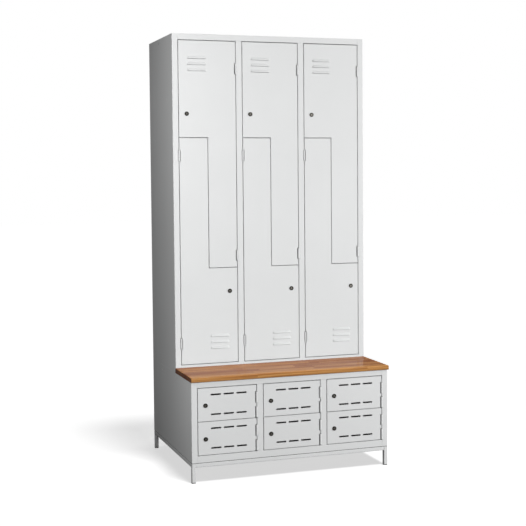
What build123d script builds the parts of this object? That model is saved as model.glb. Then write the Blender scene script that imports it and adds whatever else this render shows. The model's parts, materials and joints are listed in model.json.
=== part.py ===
from build123d import *
import os

os.makedirs("parts", exist_ok=True)

# A steel cloakroom locker on a bench base. The upper cabinet has three columns, each with two
# interlocking L-shaped doors; the base is deeper, has two rows of small doors and carries the bench board.
# Millimetres. X runs to the right, Y to the back and Z up. The origin is on the floor, at the middle
# of the rectangle that the whole object covers.

# Overall sizes
width = 1050
leg_height = 100
base_height = 400
base_depth = 800
upper_height = 1730
upper_depth = 500

# Sheet steel and how it is folded
sheet = 1.0
bend_radius = 2.0
edge_rounding = 0.8
lip_height = 12
overrun = 5

# Bench board
board_thickness = 24
board_overhang = 15
board_end_overhang = 2
board_edge_radius = 5

# Front frames: widths and heights run from the cabinet's edge to the middle of the gap round a door
column_count = 3
door_gap = 3.4
side_stile = 32
middle_stile = 35.1
frame_return = 18
upper_top_rail = 31.9
upper_bottom_rail = 37.8
base_top_rail = 31
base_bottom_rail = 35
behind_frame = 1

# Doors
door_depth = 15
door_edge_radius = 1.2
wide_part_height = 495

# Shelves, clothes rails and dividers
shelf_from_end = 295
clothes_rail_drop = 50
clothes_rail_diameter = 15

# Louvres: a pressed hood, open below, is the skin of a long round-ended form sunk in the door, above a narrow slit
louvre_count = 3
louvre_pitch = 31
louvre_radius = 14.5
louvre_sink = 10.5
louvre_straight = 80
louvre_slit = 1.5
louvre_inset = 98
upper_louvre_drop = 93
lower_louvre_rise = 76

# Slots of the small doors
slot_columns = 3
slot_rows = 2
slot_length = 53.5
slot_height = 8
slot_pitch = 66.2
slot_offset = 7
slot_row_inset = 34.5

# Hinges: two knuckles on the frame, one between them on the door, and a headed pin
barrel_length = 54
barrel_radius = 5
knuckle_gap = 0.4
pin_radius = 2.5
pin_clearance = 0.05
pin_head_radius = 3.6
pin_head_height = 1.2
leaf_thickness = 2
leaf_start = 6.5
door_leaf_depth = 14
frame_leaf_depth = 17
notch_clearance = 2
notch_depth = 6
frame_notch_side = 0.5
door_notch_side = 3.5
upper_hinge_drop = 140.5
upper_hinge_rise = 62
lower_hinge_drop = 91.5
lower_hinge_rise = 110
base_hinge_drop = 62
base_hinge_rise = 30.5

# Cam locks
lock_inset = 42.5
base_lock_inset = 40
lock_from_step = 122
base_lock_rise = 80
rosette_radius = 11
rosette_proud = 3
rosette_chamfer = 1
barrel_lock_radius = 9
barrel_lock_depth = 18.7
lock_hole_clearance = 0.2
nut_across_flats = 23
nut_height = 4
plug_radius = 6
plug_clearance = 0.05
plug_recess = 0.5
plug_shoulder = 19
key_slot_length = 7.5
key_slot_width = 1.6
key_slot_depth = 6
cam_thickness = 2
cam_root_radius = 9
cam_tip_radius = 6
cam_engagement = 10
tang_side = 7
cam_screw_radius = 2
cam_screw_head_radius = 4.4
cam_screw_head_height = 2
cam_screw_length = 7

# Underframe of square tube, with a plastic plug in each leg and plastic strips under the base
tube_side = 20
tube_wall = 1.5
tube_corner_radius = 3
plug_head_height = 4
plug_stem_height = 20
foot_edge_radius = 1
plug_fit = 0.1
strip_thickness = 2
strip_inset = 0.5

# Bolts between the two cabinets, screws under the board, and holes that join cabinets side by side
bolt_radius = 4
bolt_head_across_flats = 13
bolt_head_height = 5.3
bolt_nut_height = 6.5
bolt_tail = 2
bolt_inset = 60
screw_radius = 2
screw_head_radius = 4.2
screw_head_height = 2.2
screw_bite = 17
screw_inset = 60
screw_end_inset = 110
hole_clearance = 0.2
joining_hole_radius = 4
joining_hole_drop = 24
upper_joining_holes = [576]
base_joining_holes = [298, 576]

# Places that follow from the sizes
back_y = (base_depth + board_overhang) / 2
base_front = back_y - base_depth
upper_front = back_y - upper_depth
base_z = leg_height
upper_z = base_z + base_height
top_z = upper_z + upper_height
half_width = width / 2
wall_x = half_width - sheet
half_gap = door_gap / 2
stile_face = side_stile - half_gap
column_width = (width - 2 * side_stile - (column_count - 1) * middle_stile) / column_count
column_left = [-half_width + side_stile + k * (column_width + middle_stile) for k in range(column_count)]
column_right = [left + column_width for left in column_left]
divider_x = [(column_right[k] + column_left[k + 1]) / 2 for k in range(column_count - 1)]
space_left = [-wall_x] + [x + sheet / 2 for x in divider_x]
space_right = [x - sheet / 2 for x in divider_x] + [wall_x]

upper_door_top = top_z - upper_top_rail
lower_door_bottom = upper_z + upper_bottom_rail
high_step = upper_door_top - wide_part_height
low_step = lower_door_bottom + wide_part_height
base_door_top = upper_z - base_top_rail
base_door_bottom = base_z + base_bottom_rail
base_middle = (base_door_top + base_door_bottom) / 2
behind = frame_return + behind_frame

notch_half = barrel_length / 2 + notch_clearance
knuckle_height = (barrel_length - 2 * knuckle_gap) / 3
bolt_places = [(x, y) for x in (-half_width + bolt_inset, half_width - bolt_inset)
               for y in (upper_front + bolt_inset, back_y - bolt_inset)]
screw_places = [(x, y) for x in (-half_width + screw_end_inset, 0, half_width - screw_end_inset)
                for y in (base_front + screw_inset, upper_front - screw_inset)]


def front_plane(y):
    """The upright plane at y, seen from the front: its normal points forwards."""
    return Plane(origin=(0, y, 0), x_dir=(1, 0, 0), z_dir=(0, -1, 0))


def side_plane(x):
    """The upright plane at x, seen from the right: its own x axis runs to the back."""
    return Plane(origin=(x, 0, 0), x_dir=(0, 1, 0), z_dir=(1, 0, 0))


def block(x, y, z, mode=Mode.ADD):
    """A box between two places on each axis."""
    with Locations(((x[0] + x[1]) / 2, (y[0] + y[1]) / 2, (z[0] + z[1]) / 2)):
        Box(abs(x[1] - x[0]), abs(y[1] - y[0]), abs(z[1] - z[0]), mode=mode)


def folded_strip(points):
    """The section of a sheet folded along the points, with its thickness on their left."""
    with BuildLine() as strip:
        FilletPolyline(*points, radius=bend_radius)
        offset(amount=sheet, side=Side.LEFT)
    make_face(strip.edges())


def write(name, *pieces):
    """Writes one sub-part: a single solid, or a group of separate ones."""
    whole = pieces[0] if len(pieces) == 1 else Compound(children=list(pieces))
    whole.label = name
    export_step(whole, f"parts/{name}.step")


# Hinges: x, front plane, height of the barrel's middle, and +1 where the frame is to the right of the axis
upper_hinge_heights = [upper_door_top - upper_hinge_drop, low_step + upper_hinge_rise]
lower_hinge_heights = [high_step - lower_hinge_drop, lower_door_bottom + lower_hinge_rise]
base_hinge_heights = [[base_door_top - base_hinge_drop, base_middle + base_hinge_rise],
                      [base_middle - base_hinge_drop, base_door_bottom + base_hinge_rise]]
upper_hinges = [(x, upper_front, z, 1) for x in column_right for z in upper_hinge_heights]
lower_hinges = [(x, upper_front, z, -1) for x in column_left for z in lower_hinge_heights]
base_hinges = [(x, base_front, z, 1) for x in column_right for row in base_hinge_heights for z in row]
cabinet_hinges = {upper_front: upper_hinges + lower_hinges, base_front: base_hinges}


def cut_frame_notches(front):
    """Lets the hinge barrels into the edges of the stiles."""
    for x, y, z, frame_side in cabinet_hinges[front]:
        block((x, x + frame_side * (barrel_radius + frame_notch_side)),
              (y - overrun, y + notch_depth), (z - notch_half, z + notch_half), Mode.SUBTRACT)


def side_panel(side, front, low, high, holes):
    """A wall, the stile folded round the front corner, and the stile's return. side is -1 or 1."""
    outer, inner = side * half_width, side * (half_width - stile_face)
    section = [(outer, back_y), (outer, front), (inner, front), (inner, front + frame_return)]
    with BuildPart() as panel:
        with BuildSketch(Plane.XY.offset(low)):
            folded_strip(section if side < 0 else section[::-1])
        extrude(amount=high - low)
        outer_edges = panel.faces().sort_by(Axis.X)[0 if side < 0 else -1].edges().filter_by(Axis.Y)
        fillet(outer_edges, radius=edge_rounding)
        cut_frame_notches(front)
        for z in (low, high - sheet):
            block((-wall_x, wall_x), (front + sheet, back_y), (z, z + sheet), Mode.SUBTRACT)
        for y, z in holes:
            with BuildSketch(side_plane(outer)):
                with Locations((y, z)):
                    Circle(joining_hole_radius)
            extrude(amount=overrun, both=True, mode=Mode.SUBTRACT)
    return panel.part


def front_rail(front, outer_z, inner_z):
    """A rail between the side stiles: a face, and a return on the door's side, slit for the dividers."""
    section = [(front, outer_z), (front, inner_z), (front + frame_return, inner_z)]
    with BuildPart() as rail:
        with BuildSketch(side_plane(-half_width + stile_face)):
            folded_strip(section if inner_z < outer_z else section[::-1])
        extrude(amount=width - 2 * stile_face)
        outer_edges = rail.faces().sort_by(Axis.Y)[0].edges().filter_by_position(Axis.Z, outer_z, outer_z)
        fillet(outer_edges.filter_by(Axis.X), radius=edge_rounding)
        for x in divider_x:
            block((x - sheet / 2, x + sheet / 2), (front + sheet, front + frame_return),
                  (inner_z, outer_z), Mode.SUBTRACT)
    return rail.part


def middle_stile_part(index, front, low, high):
    """A stile between two columns: a face with a return on each edge."""
    left, right = column_right[index] + half_gap, column_left[index + 1] - half_gap
    with BuildPart() as stile:
        with BuildSketch(Plane.XY.offset(low)):
            folded_strip([(left, front + frame_return), (left, front),
                          (right, front), (right, front + frame_return)])
        extrude(amount=high - low)
        cut_frame_notches(front)
    return stile.part


def flat_plate(front, z, holes=()):
    """A level sheet between the walls, from the frame to the back, with round holes through it."""
    with BuildPart() as plate:
        block((-wall_x, wall_x), (front + sheet, back_y), (z, z + sheet))
        for x, y, radius in holes:
            with Locations((x, y, z)):
                Hole(radius)
    return plate.part


def divider(index, front, low, high):
    """An upright wall between two columns, from the back of the stile's face to the back panel."""
    x = divider_x[index]
    with BuildPart() as wall:
        block((x - sheet / 2, x + sheet / 2), (front + sheet, back_y - sheet), (low, high))
    return wall.part


def lipped_shelf(column, front, z):
    """A shelf between the walls of a column, with a lip folded down along its front edge."""
    left, right = space_left[column], space_right[column]
    with BuildPart() as shelf:
        with BuildSketch(side_plane(left)):
            folded_strip([(front + behind, z - lip_height), (front + behind, z + sheet / 2),
                          (back_y - sheet, z + sheet / 2)][::-1])
        extrude(amount=right - left)
    return shelf.part


# Upper cabinet
upper_holes = [(base_front + y, top_z - joining_hole_drop) for y in upper_joining_holes]
write("upper_side_left", side_panel(-1, upper_front, upper_z, top_z, upper_holes))
write("upper_side_right", side_panel(1, upper_front, upper_z, top_z, upper_holes))

upper_frame = [front_rail(upper_front, top_z, upper_door_top + half_gap),
               front_rail(upper_front, upper_z, lower_door_bottom - half_gap)]
upper_frame += [middle_stile_part(k, upper_front, lower_door_bottom - half_gap, upper_door_top + half_gap)
                for k in range(column_count - 1)]
write("upper_front_frame", *upper_frame)

bolt_holes = [(x, y, bolt_radius + hole_clearance) for x, y in bolt_places]
screw_holes = [(x, y, screw_radius + hole_clearance) for x, y in screw_places]
write("upper_top", flat_plate(upper_front, top_z - sheet))
write("upper_bottom", flat_plate(upper_front, upper_z, bolt_holes))

with BuildPart() as upper_back:
    block((-wall_x, wall_x), (back_y - sheet, back_y), (upper_z + sheet, top_z - sheet))
write("upper_back", upper_back.part)

write("upper_dividers", *[divider(k, upper_front, upper_z + sheet, top_z - sheet)
                          for k in range(column_count - 1)])


def z_partition(column):
    """The folded wall between a column's two compartments, with a lip round its front edge."""
    left, right = space_left[column], space_right[column]
    middle = (column_left[column] + column_right[column]) / 2
    face, high, low = middle - sheet / 2, high_step - sheet / 2, low_step - sheet / 2
    with BuildPart() as partition:
        with BuildSketch(front_plane(upper_front + behind)):
            folded_strip([(left, high), (face, high), (face, low), (right, low)])
        extrude(amount=-(upper_depth - behind - sheet))
        with BuildSketch(front_plane(upper_front + behind)):
            with BuildLine():
                Polyline((left, high), (face, high), (face, low), (right, low),
                         (right, low - lip_height), (face - lip_height, low - lip_height),
                         (face - lip_height, high - lip_height), (left, high - lip_height), close=True)
            make_face()
        extrude(amount=-sheet)
    return partition.part


write("z_partitions", *[z_partition(k) for k in range(column_count)])

shelf_heights = [upper_door_top - shelf_from_end, lower_door_bottom + shelf_from_end]
write("compartment_shelves", *[lipped_shelf(k, upper_front, z)
                               for k in range(column_count) for z in shelf_heights])


def clothes_rail(left, right, z):
    """A round tube from wall to wall, under a shelf."""
    with BuildPart() as rail:
        with BuildSketch(side_plane(left)):
            with Locations(((upper_front + back_y) / 2, z)):
                Circle(clothes_rail_diameter / 2)
                Circle(clothes_rail_diameter / 2 - sheet, mode=Mode.SUBTRACT)
        extrude(amount=right - left)
    return rail.part


clothes_rails = []
for k in range(column_count):
    partition_face = (column_left[k] + column_right[k]) / 2 - sheet / 2
    clothes_rails.append(clothes_rail(space_left[k], space_right[k], shelf_heights[0] - clothes_rail_drop))
    clothes_rails.append(clothes_rail(space_left[k], partition_face, high_step - clothes_rail_drop))
write("clothes_rails", *clothes_rails)

# Base cabinet
base_holes = [(base_front + y, upper_z - joining_hole_drop) for y in base_joining_holes]
write("base_side_left", side_panel(-1, base_front, base_z, upper_z, base_holes))
write("base_side_right", side_panel(1, base_front, base_z, upper_z, base_holes))

base_frame = [front_rail(base_front, upper_z, base_door_top + half_gap),
              front_rail(base_front, base_z, base_door_bottom - half_gap)]
base_frame += [middle_stile_part(k, base_front, base_door_bottom - half_gap, base_door_top + half_gap)
               for k in range(column_count - 1)]
write("base_front_frame", *base_frame)

write("base_top", flat_plate(base_front, upper_z - sheet, bolt_holes + screw_holes))
write("base_bottom", flat_plate(base_front, base_z))

with BuildPart() as base_back:
    block((-wall_x, wall_x), (back_y - sheet, back_y), (base_z + sheet, upper_z - sheet))
write("base_back", base_back.part)

write("base_dividers", *[divider(k, base_front, base_z + sheet, upper_z - sheet)
                         for k in range(column_count - 1)])
write("base_shelves", *[lipped_shelf(k, base_front, base_middle) for k in range(column_count)])

# Bench board
with BuildPart() as bench_board:
    block((-half_width - board_end_overhang, half_width + board_end_overhang),
          (base_front - board_overhang, upper_front), (upper_z, upper_z + board_thickness))
    front_edges = bench_board.faces().sort_by(Axis.Y)[0].edges().filter_by(Axis.X)
    end_edges = bench_board.faces().sort_by(Axis.Z)[-1].edges().filter_by(Axis.Y)
    fillet(front_edges + end_edges, radius=board_edge_radius)
    for x, y in screw_places:
        with Locations((x, y, upper_z + (screw_bite - overrun) / 2)):
            Cylinder(screw_radius, screw_bite + overrun, mode=Mode.SUBTRACT)
write("bench_board", bench_board.part)

# Underframe
leg_x = half_width - tube_side / 2
leg_ys = [base_front + tube_side / 2, back_y - tube_side / 2]
frame_top = leg_height - strip_thickness


def tube_section():
    """Square tube, centred on the sketch's origin or on the places given."""
    RectangleRounded(tube_side, tube_side, tube_corner_radius)
    Rectangle(tube_side - 2 * tube_wall, tube_side - 2 * tube_wall, mode=Mode.SUBTRACT)


def leg(x, y):
    with BuildPart() as upright:
        with BuildSketch(Plane.XY.offset(plug_head_height)):
            with Locations((x, y)):
                tube_section()
        extrude(amount=frame_top - plug_head_height)
    return upright.part


def cross_tube(y):
    with BuildPart() as tube:
        with BuildSketch(side_plane(-half_width + tube_side)):
            with Locations((y, frame_top - tube_side / 2)):
                tube_section()
        extrude(amount=width - 2 * tube_side)
    return tube.part


def side_tube(x):
    with BuildPart() as tube:
        with BuildSketch(front_plane(base_front + tube_side)):
            with Locations((x, frame_top - tube_side / 2)):
                tube_section()
        extrude(amount=-(base_depth - 2 * tube_side))
    return tube.part


leg_places = [(x, y) for x in (-leg_x, leg_x) for y in leg_ys]
write("underframe", *[leg(x, y) for x, y in leg_places], *[cross_tube(y) for y in leg_ys],
      *[side_tube(x) for x in (-leg_x, leg_x)])


def foot_plug(x, y):
    """A plastic plug: a head as wide as the tube, and a stem inside it."""
    stem_side = tube_side - 2 * tube_wall - 2 * plug_fit
    with BuildPart() as plug:
        with BuildSketch(Plane.XY):
            with Locations((x, y)):
                RectangleRounded(tube_side, tube_side, tube_corner_radius)
        extrude(amount=plug_head_height)
        fillet(plug.faces().sort_by(Axis.Z)[0].edges(), radius=foot_edge_radius)
        with BuildSketch(Plane.XY.offset(plug_head_height)):
            with Locations((x, y)):
                Rectangle(stem_side, stem_side)
        extrude(amount=plug_stem_height)
    return plug.part


def flat_strip(x, y, length_x, length_y):
    """A plastic strip between a tube and the floor of the base."""
    with BuildPart() as spacer:
        with BuildSketch(Plane.XY.offset(frame_top)):
            with Locations((x, y)):
                RectangleRounded(length_x, length_y, tube_corner_radius)
        extrude(amount=strip_thickness)
    return spacer.part


strip_width = tube_side - 2 * strip_inset
strips = [flat_strip(0, y, width - 2 * strip_inset, strip_width) for y in leg_ys]
strips += [flat_strip(x, sum(leg_ys) / 2, strip_width, base_depth - 2 * tube_side) for x in (-leg_x, leg_x)]
write("foot_plugs", *[foot_plug(x, y) for x, y in leg_places], *strips)


def hinge_half(x, y, z, direction, knuckles, depth):
    """Knuckles of a hinge and the leaf welded to a return. direction is the leaf's side of the axis."""
    near, far = (x + direction * (half_gap + sheet + t) for t in (0, leaf_thickness))
    low = z - barrel_length / 2
    with BuildPart() as half:
        for k in knuckles:
            start = low + k * (knuckle_height + knuckle_gap)
            with BuildSketch(Plane.XY.offset(start)):
                with Locations((x, y)):
                    Circle(barrel_radius)
            extrude(amount=knuckle_height)
            block((near, far), (y, y + leaf_start), (start, start + knuckle_height))
        block((near, far), (y + leaf_start, y + depth), (low, low + barrel_length))
        with Locations((x, y, z)):
            Cylinder(pin_radius + pin_clearance, barrel_length + overrun, mode=Mode.SUBTRACT)
    return half.part


def hinge_pin(x, y, z):
    """A straight pin with a head that rests on the upper knuckle."""
    with BuildPart() as pin:
        with BuildSketch(Plane.XY.offset(z - barrel_length / 2)):
            with Locations((x, y)):
                Circle(pin_radius)
        extrude(amount=barrel_length)
        with BuildSketch(Plane.XY.offset(z + barrel_length / 2)):
            with Locations((x, y)):
                Circle(pin_head_radius)
        extrude(amount=pin_head_height)
    return pin.part


all_hinges = upper_hinges + lower_hinges + base_hinges
write("hinge_frame_halves", *[hinge_half(x, y, z, side, (0, 2), frame_leaf_depth)
                              for x, y, z, side in all_hinges])
write("hinge_pins", *[hinge_pin(x, y, z) for x, y, z, side in all_hinges])


def round_ended_form(radius):
    """The upper half of a round-ended rod lying along X, cut off at the back of the door's sheet."""
    with BuildPart() as form:
        Cylinder(radius, louvre_straight, rotation=(0, 90, 0))
        with Locations((-louvre_straight / 2, 0, 0), (louvre_straight / 2, 0, 0)):
            Sphere(radius)
        split(bisect_by=Plane.XY, keep=Keep.TOP)
        split(bisect_by=front_plane(sheet - louvre_sink), keep=Keep.TOP)
    return form.part


louvre_skin = round_ended_form(louvre_radius)
louvre_hollow = round_ended_form(louvre_radius - sheet)
louvre_mouth = louvre_straight / 2 + ((louvre_radius - sheet) ** 2 - louvre_sink ** 2) ** 0.5


def door_face(outline, inset):
    """A door's outline, drawn on the gaps' centre lines and then moved inwards."""
    with BuildLine() as path:
        Polyline(*outline, close=True)
    make_face(path.edges())
    offset(amount=-inset, kind=Kind.INTERSECTION)


def door_panel(door):
    """A folded pan with its hinge notches, lock hole, louvres and slots."""
    front = door["front"]
    lock_x, lock_z = door["lock"]
    with BuildPart() as pan:
        with BuildSketch(front_plane(front)):
            door_face(door["outline"], half_gap)
        extrude(amount=-door_depth)
        fillet(pan.faces().sort_by(Axis.Y)[0].edges(), radius=door_edge_radius)
        with BuildSketch(front_plane(front + sheet)):
            door_face(door["outline"], half_gap + sheet)
        extrude(amount=-door_depth, mode=Mode.SUBTRACT)
        for x, y, z, frame_side in door["hinges"]:
            block((x, x - frame_side * (barrel_radius + door_notch_side)),
                  (y - overrun, y + notch_depth), (z - notch_half, z + notch_half), Mode.SUBTRACT)
        with BuildSketch(front_plane(front)):
            with Locations((lock_x, lock_z)):
                Circle(barrel_lock_radius + lock_hole_clearance)
            if door["slots"]:
                with Locations(door["slots"]):
                    with GridLocations(slot_pitch, door["slot_row_pitch"], slot_columns, slot_rows):
                        SlotOverall(slot_length, slot_height)
        extrude(amount=overrun, both=True, mode=Mode.SUBTRACT)
        for x, z in door["louvres"]:
            place = Location((x, front + louvre_sink, z))
            add(louvre_skin.moved(place))
            add(louvre_hollow.moved(place), mode=Mode.SUBTRACT)
            block((x - louvre_mouth, x + louvre_mouth), (front - overrun, front + overrun),
                  (z - louvre_slit, z), Mode.SUBTRACT)
    return pan.part


def lock_body(door):
    """The lock's round housing with its rosette, and the nut that clamps it to the door."""
    x, z = door["lock"]
    front = door["front"]
    with BuildPart() as housing:
        with BuildSketch(front_plane(front - rosette_proud)):
            with Locations((x, z)):
                Circle(rosette_radius)
        extrude(amount=-rosette_proud)
        chamfer(housing.faces().sort_by(Axis.Y)[0].edges(), length=rosette_chamfer)
        with BuildSketch(front_plane(front)):
            with Locations((x, z)):
                Circle(barrel_lock_radius)
        extrude(amount=-barrel_lock_depth)
        with BuildSketch(front_plane(front)):
            with Locations((x, z)):
                Circle(plug_radius + plug_clearance)
        extrude(amount=barrel_lock_depth + overrun, both=True, mode=Mode.SUBTRACT)
    with BuildPart() as nut:
        with BuildSketch(front_plane(front + sheet)):
            with Locations((x, z)):
                RegularPolygon(nut_across_flats / 2, 6, major_radius=False)
                Circle(barrel_lock_radius, mode=Mode.SUBTRACT)
        extrude(amount=-nut_height)
    return housing.part, nut.part


def lock_plug(door):
    """What the key turns: the plug with its tang, the cam on the tang, and the screw that holds it."""
    x, z = door["lock"]
    front = door["front"]
    start = front - rosette_proud + plug_recess
    shoulder = front + plug_shoulder
    with BuildPart() as plug:
        with BuildSketch(front_plane(start)):
            with Locations((x, z)):
                Circle(plug_radius)
        extrude(amount=-(shoulder - start))
        with BuildSketch(front_plane(shoulder)):
            with Locations((x, z)):
                Rectangle(tang_side, tang_side)
        extrude(amount=-cam_thickness)
        with BuildSketch(front_plane(start)):
            with Locations((x, z)):
                SlotOverall(key_slot_length, key_slot_width, rotation=90)
        extrude(amount=-key_slot_depth, mode=Mode.SUBTRACT)
        with BuildSketch(front_plane(shoulder + cam_thickness)):
            with Locations((x, z)):
                Circle(cam_screw_radius)
        extrude(amount=cam_screw_length, mode=Mode.SUBTRACT)
    tip = door["cam_reach"] - cam_tip_radius
    with BuildPart() as cam:
        with BuildSketch(front_plane(shoulder)):
            with Locations((x, z)):
                Circle(cam_root_radius)
            with Locations((x, z - tip)):
                Circle(cam_tip_radius)
            make_hull()
            with Locations((x, z)):
                Rectangle(tang_side, tang_side, mode=Mode.SUBTRACT)
        extrude(amount=-cam_thickness)
    with BuildPart() as screw:
        with BuildSketch(front_plane(shoulder + cam_thickness)):
            with Locations((x, z)):
                Circle(cam_screw_radius)
        extrude(amount=cam_screw_length)
        with BuildSketch(front_plane(shoulder + cam_thickness)):
            with Locations((x, z)):
                Circle(cam_screw_head_radius)
        extrude(amount=-cam_screw_head_height)
    return plug.part, cam.part, screw.part


# Doors: outlines run along the middles of the gaps
doors = []
for k in range(column_count):
    left, right = column_left[k], column_right[k]
    middle = (left + right) / 2
    doors.append({
        "name": f"upper_door_{k + 1}", "lock_name": f"upper_lock_{k + 1}", "front": upper_front,
        "outline": [(left, upper_door_top), (left, high_step), (middle, high_step),
                    (middle, low_step), (right, low_step), (right, upper_door_top)],
        "hinges": upper_hinges[2 * k:2 * k + 2],
        "lock": (left + lock_inset, high_step + lock_from_step),
        "cam_reach": lock_inset + cam_engagement,
        "louvres": [(left + louvre_inset, upper_door_top - upper_louvre_drop - i * louvre_pitch)
                    for i in range(louvre_count)],
        "slots": None})
    doors.append({
        "name": f"lower_door_{k + 1}", "lock_name": f"lower_lock_{k + 1}", "front": upper_front,
        "outline": [(left, high_step), (left, lower_door_bottom), (right, lower_door_bottom),
                    (right, low_step), (middle, low_step), (middle, high_step)],
        "hinges": lower_hinges[2 * k:2 * k + 2],
        "lock": (right - lock_inset, low_step - lock_from_step),
        "cam_reach": lock_inset + cam_engagement,
        "louvres": [(right - louvre_inset, lower_door_bottom + lower_louvre_rise + i * louvre_pitch)
                    for i in range(louvre_count)],
        "slots": None})
for row, (low, high) in enumerate([(base_middle, base_door_top), (base_door_bottom, base_middle)]):
    for k in range(column_count):
        left, right = column_left[k], column_right[k]
        first_hinge = 4 * k + 2 * row
        number = row * column_count + k + 1
        doors.append({
            "name": f"base_door_{number}", "lock_name": f"base_lock_{number}", "front": base_front,
            "outline": [(left, high), (left, low), (right, low), (right, high)],
            "hinges": base_hinges[first_hinge:first_hinge + 2],
            "lock": (left + base_lock_inset, low + base_lock_rise),
            "cam_reach": base_lock_inset + cam_engagement,
            "louvres": [],
            "slots": ((left + right) / 2 + slot_offset, (low + high) / 2),
            "slot_row_pitch": high - low - 2 * slot_row_inset})

for door in doors:
    leaves = [hinge_half(x, y, z, -side, (1,), door_leaf_depth) for x, y, z, side in door["hinges"]]
    write(door["name"], door_panel(door), *leaves)
    write(door["lock_name"], *lock_body(door))
    write(door["lock_name"] + "_plug", *lock_plug(door))


def cabinet_bolt(x, y):
    """A bolt down through the upper cabinet's floor and the base's top, and its nut."""
    with BuildPart() as bolt:
        with BuildSketch(Plane.XY.offset(upper_z + sheet)):
            with Locations((x, y)):
                RegularPolygon(bolt_head_across_flats / 2, 6, major_radius=False)
        extrude(amount=bolt_head_height)
        with BuildSketch(Plane.XY.offset(upper_z + sheet)):
            with Locations((x, y)):
                Circle(bolt_radius)
        extrude(amount=-(2 * sheet + bolt_nut_height + bolt_tail))
    with BuildPart() as nut:
        with BuildSketch(Plane.XY.offset(upper_z - sheet)):
            with Locations((x, y)):
                RegularPolygon(bolt_head_across_flats / 2, 6, major_radius=False)
                Circle(bolt_radius, mode=Mode.SUBTRACT)
        extrude(amount=-bolt_nut_height)
    return bolt.part, nut.part


def board_screw(x, y):
    """A screw up through the base's top into the board."""
    with BuildPart() as screw:
        with BuildSketch(Plane.XY.offset(upper_z - sheet)):
            with Locations((x, y)):
                Circle(screw_head_radius)
        extrude(amount=-screw_head_height)
        with BuildSketch(Plane.XY.offset(upper_z - sheet)):
            with Locations((x, y)):
                Circle(screw_radius)
        extrude(amount=sheet + screw_bite)
    return screw.part


fixings = [piece for x, y in bolt_places for piece in cabinet_bolt(x, y)]
fixings += [board_screw(x, y) for x, y in screw_places]
write("cabinet_fixings", *fixings)
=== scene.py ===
import json
import math
import random

import bpy
from mathutils import Matrix, Vector


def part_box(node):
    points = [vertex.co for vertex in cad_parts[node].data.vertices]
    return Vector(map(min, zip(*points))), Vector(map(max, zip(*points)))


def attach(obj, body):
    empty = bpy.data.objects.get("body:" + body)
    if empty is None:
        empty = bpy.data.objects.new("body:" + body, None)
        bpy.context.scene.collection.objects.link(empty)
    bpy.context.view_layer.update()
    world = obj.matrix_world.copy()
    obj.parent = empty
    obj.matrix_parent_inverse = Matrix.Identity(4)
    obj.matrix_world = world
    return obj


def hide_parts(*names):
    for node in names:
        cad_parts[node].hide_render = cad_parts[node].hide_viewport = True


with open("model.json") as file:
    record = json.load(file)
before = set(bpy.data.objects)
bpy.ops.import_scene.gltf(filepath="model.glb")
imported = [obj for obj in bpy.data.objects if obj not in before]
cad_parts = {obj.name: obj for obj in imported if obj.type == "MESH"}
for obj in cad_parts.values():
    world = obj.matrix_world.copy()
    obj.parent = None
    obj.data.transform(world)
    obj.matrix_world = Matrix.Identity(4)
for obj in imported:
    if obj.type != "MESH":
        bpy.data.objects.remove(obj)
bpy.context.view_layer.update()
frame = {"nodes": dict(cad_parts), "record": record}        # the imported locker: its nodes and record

nodes = frame["nodes"]
mm = 0.001
near = 0.1 * mm          # how close two places on the board count as one
tiny = 0.005 * mm        # the same for the small pressed and turned pieces
print("frame loaded:", len(nodes), "nodes")


# Camera, at the photograph's viewing angle
camera = {
    "place": (-1.9547, -5.7326, 1.5104),                 # metres, in the locker's own frame
    "yaw": -18.697, "pitch": -2.970, "roll": 0.485,      # degrees: turned right, down, and tilted
    "lens": 77.985, "sensor": 36.0,                      # millimetres
    "shiftY": -0.0551,
}


def makeCamera():
    turn = (Matrix.Rotation(math.radians(camera["yaw"]), 4, "Z")
            @ Matrix.Rotation(math.radians(camera["pitch"]), 4, "X")
            @ Matrix.Rotation(math.radians(camera["roll"]), 4, "Y")
            @ Matrix.Rotation(math.radians(90), 4, "X"))        # a new camera looks down, this lays it level
    data = bpy.data.cameras.new("camera")
    data.lens, data.sensor_width, data.shift_y = camera["lens"], camera["sensor"], camera["shiftY"]
    view = bpy.data.objects.new("camera", data)
    view.matrix_world = Matrix.Translation(camera["place"]) @ turn
    bpy.context.scene.collection.objects.link(view)
    bpy.context.scene.camera = view


makeCamera()
print("camera placed")


# Materials
mixShare, mixFirst, mixSecond, mixResult = 0, 6, 7, 2        # a colour Mix node's sockets, by number


def hexToLinear(hexColour):
    values = [int(hexColour[i:i + 2], 16) / 255 for i in (1, 3, 5)]
    return tuple(v / 12.92 if v <= 0.04045 else ((v + 0.055) / 1.055) ** 2.4 for v in values) + (1.0,)


def perMetre(sizeMm):
    return 1 / (sizeMm * mm)        # a noise texture's scale for features of this size


def newMaterial(name):
    material = bpy.data.materials.new(name)
    material.use_nodes = True
    material.node_tree.nodes.clear()
    return material, material.node_tree


def addNode(tree, kind, inputs=None, **settings):
    node = tree.nodes.new(kind)
    for name, value in settings.items():
        setattr(node, name, value)
    for socket, value in (inputs or {}).items():
        if isinstance(value, bpy.types.NodeSocket):
            tree.links.new(value, node.inputs[socket])
        else:
            node.inputs[socket].default_value = value
    return node


# Polyester powder coat on sheet steel: sprayed as powder and baked, so it is smooth and satin
# with a fine orange peel, and a little cloudy where the film is thinner
paint = {
    "thick": "#E2E3E3", "thin": "#DDDEDE",
    "cloudMm": 220, "cloudDetail": 3, "peelMm": 2.2, "peelDetail": 1, "peelDepthMm": 0.02,
    "roughness": 0.55, "roughnessSway": 0.03, "specular": 0.3,
}


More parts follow.
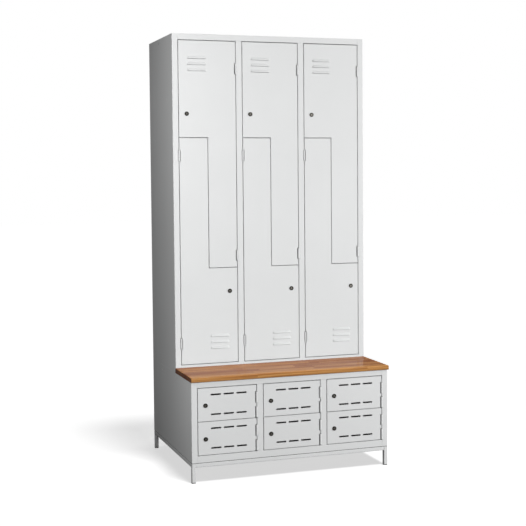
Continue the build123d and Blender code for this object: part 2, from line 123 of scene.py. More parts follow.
def makePaint():
    material, tree = newMaterial("greyPowderCoat")
    place = addNode(tree, "ShaderNodeTexCoord").outputs["Object"]
    cloud = addNode(tree, "ShaderNodeTexNoise", {"Vector": place, "Scale": perMetre(paint["cloudMm"]),
                                                 "Detail": paint["cloudDetail"]}).outputs["Fac"]
    tone = addNode(tree, "ShaderNodeMix", {mixShare: cloud, mixFirst: hexToLinear(paint["thin"]),
                                           mixSecond: hexToLinear(paint["thick"])}, data_type="RGBA")
    gloss = addNode(tree, "ShaderNodeMapRange", {"Value": cloud,
                                                 "To Min": paint["roughness"] + paint["roughnessSway"],
                                                 "To Max": paint["roughness"] - paint["roughnessSway"]})
    peel = addNode(tree, "ShaderNodeTexNoise", {"Vector": place, "Scale": perMetre(paint["peelMm"]),
                                                "Detail": paint["peelDetail"]})
    bump = addNode(tree, "ShaderNodeBump", {"Height": peel.outputs["Fac"], "Distance": paint["peelDepthMm"] * mm})
    shader = addNode(tree, "ShaderNodeBsdfPrincipled", {"Base Color": tone.outputs[mixResult],
                                                        "Roughness": gloss.outputs["Result"],
                                                        "Specular IOR Level": paint["specular"],
                                                        "Normal": bump.outputs["Normal"]})
    addNode(tree, "ShaderNodeOutputMaterial", {"Surface": shader.outputs["BSDF"]})
    return material


# Steamed beech staves, glued, sanded and brushed with clear varnish: warm red-brown with long
# soft growth-ring streaks, darker end grain and a clear glossy film
wood = {
    "light": "#E2A764", "dark": "#94501F", "pore": "#6A3815", "end": "#481804",
    "ringMm": 9, "ringStretch": 20, "ringBend": 9.0, "ringDetail": 3, "ringDetailScale": 0.35,
    "streakMm": 8, "streakLongMm": 420, "streakDetail": 4, "streakSpan": (0.32, 0.68), "streakDepth": 1.0,
    "poreMm": 0.9, "poreLongMm": 14, "poreDetail": 2, "poreSpan": (0.60, 0.75), "poreDepth": 0.35,
    "ringShare": 0.20, "streakShare": 0.80, "toneShare": 0.45,
    "endFacing": 0.75, "endDepth": 0.8,
    "coat": 0.28, "coatIor": 1.5, "coatRoughness": 0.02, "roughness": 0.6, "specular": 0.06,
}


def makeWood():
    material, tree = newMaterial("varnishedBeech")
    place = addNode(tree, "ShaderNodeTexCoord").outputs["Object"]
    # each stave has its own tone, and lies elsewhere in the log
    tone = addNode(tree, "ShaderNodeAttribute", attribute_name="staveTone").outputs["Fac"]
    shift = addNode(tree, "ShaderNodeAttribute", attribute_name="staveShift").outputs["Fac"]
    offset = addNode(tree, "ShaderNodeCombineXYZ", {"X": shift, "Y": shift, "Z": shift}).outputs["Vector"]
    log = addNode(tree, "ShaderNodeVectorMath", {0: place, 1: offset}, operation="ADD").outputs["Vector"]
    # every pattern is drawn out along the stave
    squeeze = addNode(tree, "ShaderNodeMapping", {"Vector": log, "Scale": (1 / wood["ringStretch"], 1, 1)})
    waveTurn = math.pi / 10        # metres from ring to ring in a wave texture at scale 1
    rings = addNode(tree, "ShaderNodeTexWave", {"Vector": squeeze.outputs["Vector"],
                                                "Scale": waveTurn * perMetre(wood["ringMm"]),
                                                "Distortion": wood["ringBend"], "Detail": wood["ringDetail"],
                                                "Detail Scale": wood["ringDetailScale"]},
                    wave_type="RINGS", rings_direction="X", wave_profile="SAW").outputs["Fac"]
    marks = {}
    for name in ("streak", "pore"):
        stretch = (wood[name + "Mm"] / wood[name + "LongMm"], 1, 1)
        squeeze = addNode(tree, "ShaderNodeMapping", {"Vector": log, "Scale": stretch})
        noise = addNode(tree, "ShaderNodeTexNoise", {"Vector": squeeze.outputs["Vector"],
                                                     "Scale": perMetre(wood[name + "Mm"]),
                                                     "Detail": wood[name + "Detail"]})
        least, most = wood[name + "Span"]
        marks[name] = addNode(tree, "ShaderNodeMapRange", {"Value": noise.outputs["Fac"], "From Min": least,
                                                           "From Max": most,
                                                           "To Max": wood[name + "Depth"]}).outputs["Result"]
    amount = 0.0        # from the light colour to the dark one
    for value, share in ((tone, "toneShare"), (marks["streak"], "streakShare"), (rings, "ringShare")):
        amount = addNode(tree, "ShaderNodeMath", {0: value, 1: wood[share], 2: amount},
                         operation="MULTIPLY_ADD").outputs[0]
    amount.node.use_clamp = True
    body = addNode(tree, "ShaderNodeMix", {mixShare: amount, mixFirst: hexToLinear(wood["light"]),
                                           mixSecond: hexToLinear(wood["dark"])}, data_type="RGBA")
    pored = addNode(tree, "ShaderNodeMix", {mixShare: marks["pore"], mixFirst: body.outputs[mixResult],
                                            mixSecond: hexToLinear(wood["pore"])}, data_type="RGBA")
    # the ends soak up more varnish, so they are darker
    normal = addNode(tree, "ShaderNodeNewGeometry").outputs["Normal"]
    facing = addNode(tree, "ShaderNodeSeparateXYZ", {"Vector": normal})
    endwise = addNode(tree, "ShaderNodeMath", {0: facing.outputs["X"]}, operation="ABSOLUTE")
    endMask = addNode(tree, "ShaderNodeMapRange", {"Value": endwise.outputs[0], "From Min": wood["endFacing"],
                                                   "To Max": wood["endDepth"]})
    colour = addNode(tree, "ShaderNodeMix", {mixShare: endMask.outputs["Result"], mixFirst: pored.outputs[mixResult],
                                             mixSecond: hexToLinear(wood["end"])}, data_type="RGBA")
    shader = addNode(tree, "ShaderNodeBsdfPrincipled", {"Base Color": colour.outputs[mixResult],
                                                        "Roughness": wood["roughness"],
                                                        "Specular IOR Level": wood["specular"],
                                                        "Coat Weight": wood["coat"], "Coat IOR": wood["coatIor"],
                                                        "Coat Roughness": wood["coatRoughness"]})
    addNode(tree, "ShaderNodeOutputMaterial", {"Surface": shader.outputs["BSDF"]})
    return material


# Plated steel and zinc die-casting: nickel or zinc on metal, with the fine lines of turning or stamping
metals = {
    "blackNickel": {"light": "#3A3834", "dark": "#262421", "lineMm": 0.35, "polished": 0.28, "worn": 0.42},
    "burnishedPlug": {"light": "#77746E", "dark": "#55534F", "lineMm": 0.3, "polished": 0.28, "worn": 0.42},
    "zincPlate": {"light": "#C3C4C2", "dark": "#A3A5A4", "lineMm": 1.2, "polished": 0.32, "worn": 0.46},
    "brightTube": {"light": "#CFCFCE", "dark": "#BDBDBC", "lineMm": 0.6, "polished": 0.12, "worn": 0.26},
}
metalDetail = 2


def makeMetal(name):
    finish = metals[name]
    material, tree = newMaterial(name)
    place = addNode(tree, "ShaderNodeTexCoord").outputs["Object"]
    lines = addNode(tree, "ShaderNodeTexNoise", {"Vector": place, "Scale": perMetre(finish["lineMm"]),
                                                 "Detail": metalDetail}).outputs["Fac"]
    tone = addNode(tree, "ShaderNodeMix", {mixShare: lines, mixFirst: hexToLinear(finish["dark"]),
                                           mixSecond: hexToLinear(finish["light"])}, data_type="RGBA")
    wear = addNode(tree, "ShaderNodeMapRange", {"Value": lines, "To Min": finish["polished"],
                                                "To Max": finish["worn"]})
    shader = addNode(tree, "ShaderNodeBsdfPrincipled", {"Base Color": tone.outputs[mixResult], "Metallic": 1.0,
                                                        "Roughness": wear.outputs["Result"]})
    addNode(tree, "ShaderNodeOutputMaterial", {"Surface": shader.outputs["BSDF"]})
    return material


# Injection-moulded polyethylene: black-grey, slightly waxy, with a fine mould grain
plastic = {"colour": "#2B2B2A", "grainMm": 0.5, "grainDetail": 2, "grainDepthMm": 0.02, "roughness": 0.5}


def makePlastic():
    material, tree = newMaterial("mouldedPlug")
    place = addNode(tree, "ShaderNodeTexCoord").outputs["Object"]
    grain = addNode(tree, "ShaderNodeTexNoise", {"Vector": place, "Scale": perMetre(plastic["grainMm"]),
                                                 "Detail": plastic["grainDetail"]})
    bump = addNode(tree, "ShaderNodeBump", {"Height": grain.outputs["Fac"],
                                            "Distance": plastic["grainDepthMm"] * mm})
    shader = addNode(tree, "ShaderNodeBsdfPrincipled", {"Base Color": hexToLinear(plastic["colour"]),
                                                        "Roughness": plastic["roughness"],
                                                        "Normal": bump.outputs["Normal"]})
    addNode(tree, "ShaderNodeOutputMaterial", {"Surface": shader.outputs["BSDF"]})
    return material


finishes = {
    "powder_coat": makePaint(),
    "varnished_wood": makeWood(),
    "lock_chrome": makeMetal("blackNickel"),
    "lock_steel": makeMetal("burnishedPlug"),
    "plated_steel": makeMetal("zincPlate"),
    "rail_steel": makeMetal("brightTube"),
    "foot_plastic": makePlastic(),
}
for part in frame["record"]["subparts"]:
    materials = nodes[part["node"]].data.materials
    materials.clear()
    materials.append(finishes[part["material_slot"]])
print("finishes on all nodes")


# Modelling helpers. An operator acts on all that is selected, so each start is a clean selection
def deselectAll():
    bpy.ops.object.select_all(action="DESELECT")


def selectOnly(*pieces):
    deselectAll()
    for piece in pieces:
        piece.select_set(True)
    bpy.context.view_layer.objects.active = pieces[0]


def applyPlace(piece):
    bpy.ops.object.transform_apply(location=True, rotation=True, scale=True)
    return piece


def smoothShade(piece, degrees):
    selectOnly(piece)
    bpy.ops.object.shade_smooth_by_angle(angle=math.radians(degrees))


def selectParts(parts, test):
    # parts are a mesh's vertices, edges or faces, flagged in object mode for edit mode to take up
    bpy.ops.mesh.select_all(action="DESELECT")
    bpy.ops.object.mode_set(mode="OBJECT")
    for part in parts:
        part.select = test(part)
    bpy.ops.object.mode_set(mode="EDIT")


def selectEdges(mesh, test):
    selectParts(mesh.edges, lambda edge: test(*[mesh.vertices[v].co for v in edge.vertices]))


def turnedShell(name, axisPlace, rings, sides, hollow):
    # circles drawn along the Y axis, one ring after another, each a radius and a depth
    x, front, z = axisPlace
    radius, depth = rings[0]
    deselectAll()
    bpy.ops.mesh.primitive_circle_add(vertices=sides, radius=radius, location=(x, front + depth, z),
                                      rotation=(math.radians(90), 0, 0))
    piece = applyPlace(bpy.context.object)
    piece.name = name
    bpy.ops.object.mode_set(mode="EDIT")
    bpy.ops.mesh.select_mode(type="EDGE")
    bpy.ops.mesh.select_all(action="SELECT")
    for nextRadius, nextDepth in rings[1:]:
        bpy.ops.mesh.extrude_region_move(TRANSFORM_OT_translate={"value": (0, nextDepth - depth, 0)})
        ratio = nextRadius / radius
        bpy.ops.transform.resize(value=(ratio, 1, ratio), center_override=(x, front + nextDepth, z))
        radius, depth = nextRadius, nextDepth
    bpy.ops.mesh.select_non_manifold()
    if hollow:
        bpy.ops.mesh.bridge_edge_loops()
    else:
        bpy.ops.mesh.fill_holes(sides=0)
    bpy.ops.mesh.select_all(action="SELECT")
    bpy.ops.mesh.normals_make_consistent(inside=False)
    bpy.ops.object.mode_set(mode="OBJECT")
    return piece


def cutterBox(place, size):
    deselectAll()
    bpy.ops.mesh.primitive_cube_add(size=1, location=place, scale=size)
    return applyPlace(bpy.context.object)


def cutWith(piece, tool, operation):
    selectOnly(piece)
    modifier = piece.modifiers.new("cut", "BOOLEAN")
    modifier.object, modifier.operation, modifier.solver = tool, operation, "EXACT"
    bpy.ops.object.modifier_apply(modifier=modifier.name)
    bpy.data.objects.remove(tool)


def joinPieces(pieces, name):
    selectOnly(*pieces)
    bpy.ops.object.join()
    joined = bpy.context.object
    joined.name = name
    return joined


def copyPiece(piece, name, move):
    twin = piece.copy()
    twin.data = piece.data.copy()
    twin.name = name
    bpy.context.scene.collection.objects.link(twin)
    twin.data.transform(Matrix.Translation(move))
    return twin


def dress(piece, finish, body):
    piece.data.materials.clear()
    piece.data.materials.append(finishes[finish])
    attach(piece, body)


# Bench board: rows of staves glued side by side, each row jointed at places of its own
board = {
    "staveWidth": 45 * mm, "shortStave": 260 * mm, "longStave": 620 * mm,
    "rowStart": (0.1, 0.9),        # how much of a short stave a row is cut back by at its left end
    "topRound": 5 * mm, "frontUnder": 5 * mm, "roundSteps": 6, "smooth": 35,
    # the front row's tone is paler than any stave's: a painted highlight on the front edge and the strip of top
    # behind it
    "shiftStep": 0.31, "frontHighlightTone": -0.2, "seed": 11,
}


def cutStaves(mesh, low, high, chance):
    size = high - low
    rows = round(size.y / board["staveWidth"])
    glueLines = [low.y + size.y * i / rows for i in range(1, rows)]
    bpy.ops.mesh.select_mode(type="FACE")
    for y in glueLines:
        bpy.ops.mesh.select_all(action="SELECT")
        bpy.ops.mesh.bisect(plane_co=(0, y, 0), plane_no=(0, 1, 0))
    rowEdges = [low.y - near] + glueLines + [high.y + near]
    joints = []
    for front, rear in zip(rowEdges, rowEdges[1:]):
        x, cuts = low.x - chance.uniform(*board["rowStart"]) * board["shortStave"], []
        while x < high.x:
            x += chance.uniform(board["shortStave"], board["longStave"])
            if low.x < x < high.x:
                cuts.append(x)
        joints.append(cuts)
        for x in cuts:
            selectParts(mesh.polygons, lambda face: front < face.center.y < rear)
            bpy.ops.mesh.bisect(plane_co=(x, 0, 0), plane_no=(1, 0, 0))
    return rowEdges, joints


def toneStaves(mesh, rowEdges, joints, chance):
    tone = mesh.attributes.new("staveTone", "FLOAT", "FACE")
    shift = mesh.attributes.new("staveShift", "FLOAT", "FACE")
    tones = {}
    for face in mesh.polygons:
        row = next(i for i in range(len(joints)) if rowEdges[i] <= face.center.y <= rowEdges[i + 1])
        stave = (row, sum(face.center.x > x for x in joints[row]))
        if stave not in tones:
            # the front row of staves is drawn paler than any other, a painted highlight for the light on the board's
            # front edge
            toneOf = board["frontHighlightTone"] if row == 0 else chance.random()
            tones[stave] = (toneOf, len(tones) * board["shiftStep"])
        tone.data[face.index].value, shift.data[face.index].value = tones[stave]


def makeBenchBoard():
    low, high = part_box("bench_board")
    piece = cutterBox((low + high) / 2, high - low)
    piece.name = "benchBoard"
    mesh = piece.data
    bpy.ops.object.mode_set(mode="EDIT")
    bpy.ops.mesh.select_mode(type="EDGE")
    # all edges of the top but the rear one, then the front one below
    selectEdges(mesh, lambda a, b: min(a.z, b.z) > high.z - near and min(a.y, b.y) < high.y - near)
    bpy.ops.mesh.bevel(offset=board["topRound"], segments=board["roundSteps"], affect="EDGES")
    selectEdges(mesh, lambda a, b: max(a.z, b.z) < low.z + near and max(a.y, b.y) < low.y + near)
    bpy.ops.mesh.bevel(offset=board["frontUnder"], segments=board["roundSteps"], affect="EDGES")
    chance = random.Random(board["seed"])
    rowEdges, joints = cutStaves(mesh, low, high, chance)
    bpy.ops.object.mode_set(mode="OBJECT")
    toneStaves(mesh, rowEdges, joints, chance)
    smoothShade(piece, board["smooth"])
    piece.visible_diffuse = False        # as photographed, the board throws no warm light on the doors
    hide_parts("bench_board")
    dress(piece, "varnished_wood", "root")


makeBenchBoard()
print("bench board made")


# Locks: a round rosette on a threaded barrel with its nut, a key plug, and behind it a cam with its screw
lock = {
    "sides": 48, "smooth": 35,
    # rosette and barrel: depths count from the door's face, and the rim and collar are rounded in small steps
    "rim": 11 * mm, "proud": 3 * mm, "dishRadius": 9.0 * mm, "dishDepth": 1.1 * mm, "collar": 7.4 * mm,
    "roundStep": 0.3 * mm, "rimSteps": ((0, 3), (0.5, 1.6), (1.6, 0.5), (3, 0), (5, 1 / 3)),
    "collarSteps": ((0, 0), (0.5, 1), (1.5, 2)),
    "bore": 6.05 * mm, "thread": 9 * mm, "threadDepth": 0.5 * mm, "pitch": 1.5 * mm, "barrel": 18.7 * mm,
    "housingSmooth": 40,
    # nut
    "sheet": 1 * mm, "nutFlats": 23 * mm, "nutHeight": 4 * mm, "nutChamfer": 0.9 * mm, "nutChamferSlope": 1.8,
    "nutSmooth": 30,
    # key plug
    "plug": 6 * mm, "plugRecess": 0.5 * mm, "shoulder": 19 * mm, "plugEase": 0.35 * mm,
    "slotLong": 7.5 * mm, "slotWide": 1.6 * mm, "slotDeep": 6 * mm, "wardWide": 2.6 * mm, "wardLong": 1.7 * mm,
    # cam
    "camThick": 2 * mm, "camRoot": 9 * mm, "camTip": 6 * mm, "camSides": 64,
    "camEase": 0.35 * mm, "camEaseSteps": 2, "camEaseAngle": 50,
    # cam screw
    "screwHead": 4.4 * mm, "screwHeight": 2 * mm, "screwEase": 0.8 * mm, "screwRound": 0.35, "screwSides": 32,
    "crossLong": 5 * mm, "crossWide": 1 * mm, "crossDeep": 1.2 * mm, "crossClear": 0.1 * mm,
}


def lockPlace(name):
    # on the lock's axis, at the face of the door
    low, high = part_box(name)
    return ((low.x + high.x) / 2, low.y + lock["proud"], (low.z + high.z) / 2)


def makeHousing(place):
    # from the back of the barrel, along its thread, out to the rim, over the dish and back through the bore
    thread, root, bore, step = lock["thread"], lock["thread"] - lock["threadDepth"], lock["bore"], lock["roundStep"]
    rim, face, dish = lock["rim"], -lock["proud"], lock["dishDepth"] - lock["proud"]
    rings = [(bore, lock["barrel"]), (root, lock["barrel"])]
    depth = lock["barrel"] - lock["threadDepth"]
    while depth > lock["sheet"] + lock["pitch"]:
        rings += [(thread, depth), (root, depth - lock["pitch"] / 2)]
        depth -= lock["pitch"]
    rings += [(thread, lock["sheet"]), (thread, 0), (rim, 0)]
    rings += [(rim - step * inwards, face + step * back) for inwards, back in lock["rimSteps"]]
    rings += [(lock["dishRadius"], face + step), (lock["dishRadius"] - step, dish)]
    rings += [(lock["collar"] - step * inwards, dish - step * out) for inwards, out in lock["collarSteps"]]
    rings += [(bore + step, dish - 2 * step), (bore, dish - step)]
    shell = turnedShell("housing", place, rings, lock["sides"], hollow=True)
    smoothShade(shell, lock["housingSmooth"])
    return shell


def makeNut(place):
    x, front, z = place
    corner = lock["nutFlats"] / 2 / math.cos(math.radians(30))        # from a hexagon's flats to its corners
    deselectAll()
    bpy.ops.mesh.primitive_cylinder_add(vertices=6, radius=corner, depth=lock["nutHeight"],
                                        location=(x, front + lock["sheet"] + lock["nutHeight"] / 2, z),
                                        rotation=(math.radians(90), 0, 0))
    nut = applyPlace(bpy.context.object)
    # a turned blank rounds off the six corners
    ease, back = lock["nutChamfer"], lock["sheet"] + lock["nutHeight"]
    inner = corner - lock["nutChamferSlope"] * ease
    blank = turnedShell("blank", place, [(inner, lock["sheet"]), (corner, lock["sheet"] + ease),
                                         (corner, back - ease), (inner, back)], lock["sides"], hollow=False)
    bore = lock["thread"] - lock["threadDepth"] / 2
    hole = turnedShell("hole", place, [(bore, 0), (bore, 2 * back)], lock["sides"], hollow=False)
    cutWith(nut, blank, "INTERSECT")
    cutWith(nut, hole, "DIFFERENCE")
    smoothShade(nut, lock["nutSmooth"])
    return nut


def makePlugBody(place):
    x, front, z = place
    face = lock["plugRecess"] - lock["proud"]
    rings = [(lock["plug"] - lock["plugEase"], face), (lock["plug"], face + lock["plugEase"]),
             (lock["plug"], lock["shoulder"])]
    body = turnedShell("plugBody", place, rings, lock["sides"], hollow=False)
    # the key's slot, with a ward beside it
    middle = front + face + lock["slotDeep"] / 2 - lock["plugEase"]
    deep = lock["slotDeep"] + 2 * lock["plugEase"]
    cutWith(body, cutterBox((x, middle, z), (lock["slotWide"], deep, lock["slotLong"])), "DIFFERENCE")
    ward = (x - (lock["wardWide"] - lock["slotWide"]) / 2, middle, z + lock["wardLong"])
    cutWith(body, cutterBox(ward, (lock["wardWide"], deep, lock["wardLong"])), "DIFFERENCE")
    smoothShade(body, lock["smooth"])
    return body


def makeCam(place, reach):
    x, front, z = place
    deselectAll()
    bpy.ops.mesh.primitive_cylinder_add(vertices=lock["camSides"], radius=lock["camRoot"], depth=lock["camThick"],
                                        location=(x, front + lock["shoulder"] + lock["camThick"] / 2, z),
                                        rotation=(math.radians(90), 0, 0))
    cam = applyPlace(bpy.context.object)
    cam.name = "cam"
    # the lower half is made slimmer and drawn down to the cam's tip
    bpy.ops.object.mode_set(mode="EDIT")
    bpy.ops.mesh.select_mode(type="VERT")
    selectParts(cam.data.vertices, lambda vertex: vertex.co.z < z - tiny)
    slim = lock["camTip"] / lock["camRoot"]
    bpy.ops.transform.resize(value=(slim, 1, slim), center_override=(x, front, z))
    bpy.ops.transform.translate(value=(0, 0, lock["camTip"] - reach))
    bpy.ops.object.mode_set(mode="OBJECT")
    ease = cam.modifiers.new("ease", "BEVEL")
    ease.width, ease.segments = lock["camEase"], lock["camEaseSteps"]
    ease.limit_method, ease.angle_limit = "ANGLE", math.radians(lock["camEaseAngle"])
    bpy.ops.object.modifier_apply(modifier=ease.name)
    smoothShade(cam, lock["smooth"])
    return cam


def makeCamScrew(place):
    x, front, z = place
    seat, head, ease = lock["shoulder"] + lock["camThick"], lock["screwHead"], lock["screwEase"]
    top, soft = seat + lock["screwHeight"], lock["screwRound"] * lock["screwEase"]
    rings = [(head, seat), (head, top - ease), (head - soft, top - soft), (head - ease, top)]
    screw = turnedShell("camScrew", place, rings, lock["screwSides"], hollow=False)
    middle = front + top - lock["crossDeep"] / 2 + lock["crossClear"]
    for wide, high in ((lock["crossLong"], lock["crossWide"]), (lock["crossWide"], lock["crossLong"])):
        cutWith(screw, cutterBox((x, middle, z), (wide, lock["crossDeep"], high)), "DIFFERENCE")
    smoothShade(screw, lock["smooth"])
    return screw


def makeLocks():
    names = sorted(name for name in nodes if "_lock_" in name and not name.endswith("_plug"))
    first = lockPlace(names[0])
    housing = joinPieces([makeHousing(first), makeNut(first)], "lockHousing")
    plugs = {}        # the cams differ in reach, so there is a plug for each reach
    for name in names:
        place = lockPlace(name)
        plugNode = name + "_plug"
        reach = place[2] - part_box(plugNode)[0].z
        kind = round(reach / mm)
        if kind not in plugs:
            pieces = [makePlugBody(first), makeCam(first, reach), makeCamScrew(first)]
            plugs[kind] = joinPieces(pieces, "lockPlug")
        move = Vector(place) - Vector(first)
        body = name.replace("_lock_", "_door_")
        ring = copyPiece(housing, name + "_housing", move)
        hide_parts(name)
        dress(ring, "lock_chrome", body)
        plug = copyPiece(plugs[kind], name + "_key_plug", move)
        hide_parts(plugNode)
        dress(plug, "lock_steel", plugNode)
    for piece in [housing] + list(plugs.values()):
        bpy.data.objects.remove(piece)


makeLocks()
print("locks made")


# Louvres: the pressed hoods, with the round root that a press tool leaves. Each lies as a thin skin on the
# plainer hood of its door
louvre = {
    "radius": 14.5 * mm, "sink": 10.5 * mm, "straight": 80 * mm, "rise": 1.2, "segments": 48, "rings": 25,
    "skin": 0.25 * mm, "wall": 0.2 * mm, "seat": 0.04 * mm,
    "root": 3.0 * mm, "rootRound": 2.4 * mm, "rootSteps": 5, "smooth": 50,
    "count": 3, "pitch": 31 * mm, "inset": 98 * mm, "front": -92.5 * mm,
    "upperLow": 2043.1 * mm, "lowerLow": 613.8 * mm,        # the foot of each door's lowest hood
    # where each column's opening starts and ends: the hoods are centred on the inset from one or the other
    "columnLeft": (-493 * mm, -152.633 * mm, 187.733 * mm),
    "columnRight": (-187.733 * mm, 152.633 * mm, 493 * mm),
}


def makeHood(x, front, low):
    radius, half = louvre["radius"] + louvre["skin"], louvre["straight"] / 2
    deselectAll()
    bpy.ops.mesh.primitive_uv_sphere_add(segments=louvre["segments"], ring_count=louvre["rings"], radius=radius,
                                         location=(x, front + louvre["sink"], low),
                                         rotation=(0, math.radians(90), 0))
    hood = applyPlace(bpy.context.object)
    hood.name = "hood"
    mesh = hood.data
    # the ball is drawn out sideways and upwards, then halved below and behind
    bpy.ops.object.mode_set(mode="EDIT")
    bpy.ops.mesh.select_mode(type="VERT")
    for side in (-1, 1):
        selectParts(mesh.vertices, lambda vertex: (vertex.co.x - x) * side > tiny)
        bpy.ops.transform.translate(value=(side * half, 0, 0))
    bpy.ops.mesh.select_all(action="SELECT")
    bpy.ops.transform.resize(value=(1, 1, louvre["rise"]), center_override=(x, front, low))
    seat = front - louvre["seat"]
    bpy.ops.mesh.bisect(plane_co=(0, 0, low), plane_no=(0, 0, 1), clear_inner=True)
    bpy.ops.mesh.select_all(action="SELECT")
    bpy.ops.mesh.bisect(plane_co=(0, seat, 0), plane_no=(0, 1, 0), clear_outer=True)
    # a flange round the hood, then a round between the two
    bpy.ops.mesh.select_mode(type="EDGE")
    selectEdges(mesh, lambda a, b: abs(a.y - seat) < tiny and abs(b.y - seat) < tiny)
    bpy.ops.mesh.extrude_region_move()
    rim = math.sqrt(radius ** 2 - (front + louvre["sink"] - seat) ** 2)
    reach = half + rim
    bpy.ops.transform.resize(value=((reach + louvre["root"]) / reach, 1, (rim + louvre["root"]) / rim),
                             center_override=(x, seat, low))

    def onOutline(v):
        outline = math.hypot(max(abs(v.x - x) - half, 0), (v.z - low) / louvre["rise"])
        return abs(v.y - seat) < tiny and outline < rim + louvre["root"] / 3
    selectEdges(mesh, lambda a, b: onOutline(a) and onOutline(b))
    bpy.ops.mesh.bevel(offset=louvre["rootRound"], segments=louvre["rootSteps"], affect="EDGES")
    bpy.ops.mesh.select_all(action="SELECT")
    bpy.ops.mesh.normals_make_consistent(inside=False)
    bpy.ops.object.mode_set(mode="OBJECT")
    wall = hood.modifiers.new("wall", "SOLIDIFY")
    wall.thickness, wall.offset = louvre["wall"], -1
    bpy.ops.object.modifier_apply(modifier=wall.name)
    smoothShade(hood, louvre["smooth"])
    return hood


def makeLouvres():
    rows = [("upper_door_", [x + louvre["inset"] for x in louvre["columnLeft"]], louvre["upperLow"]),
            ("lower_door_", [x - louvre["inset"] for x in louvre["columnRight"]], louvre["lowerLow"])]
    hood = makeHood(0, louvre["front"], 0)
    for prefix, places, low in rows:
        for column, x in enumerate(places):
            door = prefix + str(column + 1)
            hoods = [copyPiece(hood, "hood", (x, 0, low + i * louvre["pitch"])) for i in range(louvre["count"])]
            press = joinPieces(hoods, door + "_louvre_skins")
            dress(press, "powder_coat", door)
    bpy.data.objects.remove(hood)


makeLouvres()
print("louvres made")


# Spot welds: the round marks that the electrodes leave where shelves and dividers meet the outer sheets, in mm
welds = {
    "rings": ((6.0, 0.1), (5.6, -0.3), (4.8, -0.75), (4.0, -0.8), (3.2, -0.55), (1.4, -0.35)),
    "sides": 32, "smooth": 60,
    "wall": 525, "back": 407.5,        # where the side sheets and the back sheet lie
    "upperSide": [(y, z) for y in (30, 305) for z in (833, 1700, 1903)],
    "baseSide": [(-30, 296), (-270, 296), (-343, 311)],
    "backPlaces": [(x, z) for x in (-170.183, 170.183) for z in (180, 420, 620, 1010, 1400, 1790, 2120)],
}


def makeSpotWelds():
    rings = [(radius * mm, depth * mm) for radius, depth in welds["rings"]]
    mark = turnedShell("mark", (0, 0, 0), rings, welds["sides"], hollow=False)
    smoothShade(mark, welds["smooth"])
    places = [(180, (x, welds["back"], z)) for x, z in welds["backPlaces"]]
    for turn, wall in ((-90, -welds["wall"]), (90, welds["wall"])):
        places += [(turn, (wall, y, z)) for y, z in welds["upperSide"] + welds["baseSide"]]
    marks = []
    for turn, place in places:
        twin = copyPiece(mark, "mark", (0, 0, 0))
        twin.data.transform(Matrix.Translation(Vector(place) * mm) @ Matrix.Rotation(math.radians(turn), 4, "Z"))
        marks.append(twin)
    dress(joinPieces(marks, "spot_welds"), "powder_coat", "root")
    bpy.data.objects.remove(mark)


makeSpotWelds()
print("spot welds made")


# Floor, light and background
stage = {
    "floorSize": 60, "floorBounce": "#2E2E2D", "floorGlow": 0.65, "floorPaper": 0.93,
    "white": (1.0, 1.0, 1.0, 1.0), "backdrop": 1.0, "ambient": 0.012, "mirrored": 0.2,
    # degrees to the right of the front, degrees up, strength, and the width of its disc in degrees
    "suns": {
        "floorSun": {"azimuth": 17, "elevation": 70, "energy": 1.27, "spread": 12},
        "benchSun": {"azimuth": 20, "elevation": 50, "energy": 1.55, "spread": 10},
        "frontSun": {"azimuth": 38, "elevation": 10, "energy": 1.92, "spread": 6},
    },
    # metres and watts
    "softboxes": {
        "rightBox": {"place": (2.4, -2.8, 1.4), "aim": (0.1, 0, 1.1), "size": (2.0, 1.4), "energy": 57},
        "leftBox": {"place": (-1.62, -1.2, 2.0), "aim": (-0.5, 0.1, 1.8), "size": (0.5, 1.0), "energy": 15},
        "backBox": {"place": (0, 4.5, 1.7), "aim": (0, 0.4, 1.2), "size": (0.9, 1.2), "energy": 130},
        "topBox": {"place": (0, 0.15, 4.4), "aim": (0, 0.15, 2.2), "size": (1.0, 0.6), "energy": 24},
        "lowBox": {"place": (-1.3, -0.7, 0.5), "aim": (-0.5, -0.4, 0.3), "size": (0.3, 0.3), "energy": 1.7},
    },
}


def seenDirectly(tree):
    # camera, mirror and glass rays see the pale studio; the rest see what lights the locker
    path = addNode(tree, "ShaderNodeLightPath").outputs
    mirrored = addNode(tree, "ShaderNodeMath", {0: path["Is Glossy Ray"], 1: stage["mirrored"]},
                       operation="MULTIPLY")
    both = addNode(tree, "ShaderNodeMath", {0: path["Is Camera Ray"], 1: mirrored.outputs[0]}, operation="MAXIMUM")
    return addNode(tree, "ShaderNodeMath", {0: both.outputs[0], 1: path["Is Transmission Ray"]},
                   operation="MAXIMUM").outputs[0]


def makeFloor():
    deselectAll()
    bpy.ops.mesh.primitive_plane_add(size=stage["floorSize"])
    floor = bpy.context.object
    floor.name = "floor"
    material, tree = newMaterial("paleFloor")
    glow = addNode(tree, "ShaderNodeEmission", {"Color": stage["white"], "Strength": stage["floorGlow"]})
    paper = addNode(tree, "ShaderNodeBsdfDiffuse", {"Color": (stage["floorPaper"],) * 3 + (1.0,)})
    seen = addNode(tree, "ShaderNodeAddShader", {0: glow.outputs[0], 1: paper.outputs[0]})
    bounce = addNode(tree, "ShaderNodeBsdfDiffuse", {"Color": hexToLinear(stage["floorBounce"])})
    mixed = addNode(tree, "ShaderNodeMixShader", {0: seenDirectly(tree), 1: bounce.outputs[0], 2: seen.outputs[0]})
    addNode(tree, "ShaderNodeOutputMaterial", {"Surface": mixed.outputs[0]})
    floor.data.materials.append(material)
    return floor


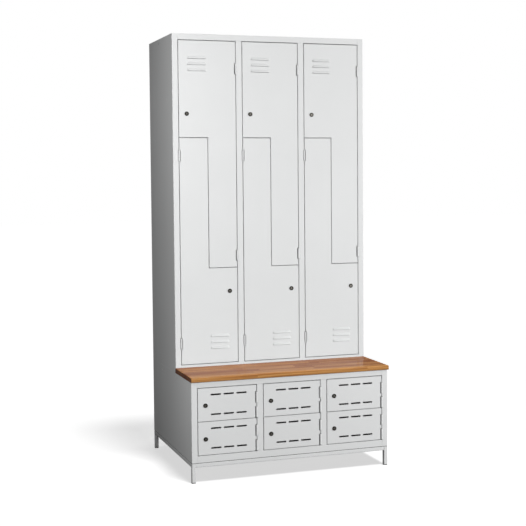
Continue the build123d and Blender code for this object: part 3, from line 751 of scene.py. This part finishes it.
def makeWorld():
    world = bpy.data.worlds.new("studio")
    world.use_nodes = True
    tree = world.node_tree
    tree.nodes.clear()
    dim = addNode(tree, "ShaderNodeBackground", {"Color": stage["white"], "Strength": stage["ambient"]})
    pale = addNode(tree, "ShaderNodeBackground", {"Color": stage["white"], "Strength": stage["backdrop"]})
    mixed = addNode(tree, "ShaderNodeMixShader", {0: seenDirectly(tree), 1: dim.outputs[0], 2: pale.outputs[0]})
    addNode(tree, "ShaderNodeOutputWorld", {"Surface": mixed.outputs[0]})
    bpy.context.scene.world = world


def makeLamp(name, kind, energy, place, towards):
    # a lamp shines down its own Z axis, so that axis points back towards where the light comes from
    data = bpy.data.lights.new(name, kind)
    data.energy = energy
    lamp = bpy.data.objects.new(name, data)
    lamp.location = place
    lamp.rotation_euler = Vector(towards).to_track_quat("Z", "Y").to_euler()
    bpy.context.scene.collection.objects.link(lamp)
    return data


def makeLamps():
    for name, sun in stage["suns"].items():
        azimuth, elevation = math.radians(sun["azimuth"]), math.radians(sun["elevation"])
        towards = (math.sin(azimuth) * math.cos(elevation), -math.cos(azimuth) * math.cos(elevation),
                   math.sin(elevation))
        makeLamp(name, "SUN", sun["energy"], (0, 0, 3), towards).angle = math.radians(sun["spread"])
    for name, box in stage["softboxes"].items():
        data = makeLamp(name, "AREA", box["energy"], box["place"], Vector(box["place"]) - Vector(box["aim"]))
        data.shape, (data.size, data.size_y) = "RECTANGLE", box["size"]


def linkLamps(floor):
    # one sun lays the shadow on the floor, one lights the board, and one box is for the roof alone;
    # the front's sun leaves out the floor and the board, and the other boxes leave out the floor
    seat, roof = bpy.data.objects["benchBoard"], nodes["upper_top"]
    links = [("INCLUDE", [floor], ["floorSun"]), ("INCLUDE", [seat], ["benchSun"]), ("INCLUDE", [roof], ["topBox"]),
             ("EXCLUDE", [floor, seat], ["frontSun"]),
             ("EXCLUDE", [floor], ["rightBox", "leftBox", "backBox", "lowBox"])]
    for state, pieces, names in links:
        group = bpy.data.collections.new(names[0] + "Pieces")
        for piece in pieces:
            group.objects.link(piece)
        for entry in group.collection_objects:
            entry.light_linking.link_state = state
        for name in names:
            bpy.data.objects[name].light_linking.receiver_collection = group


floor = makeFloor()
makeLamps()
linkLamps(floor)
makeWorld()
bpy.context.scene.view_settings.view_transform = "Standard"
print("floor and light made")
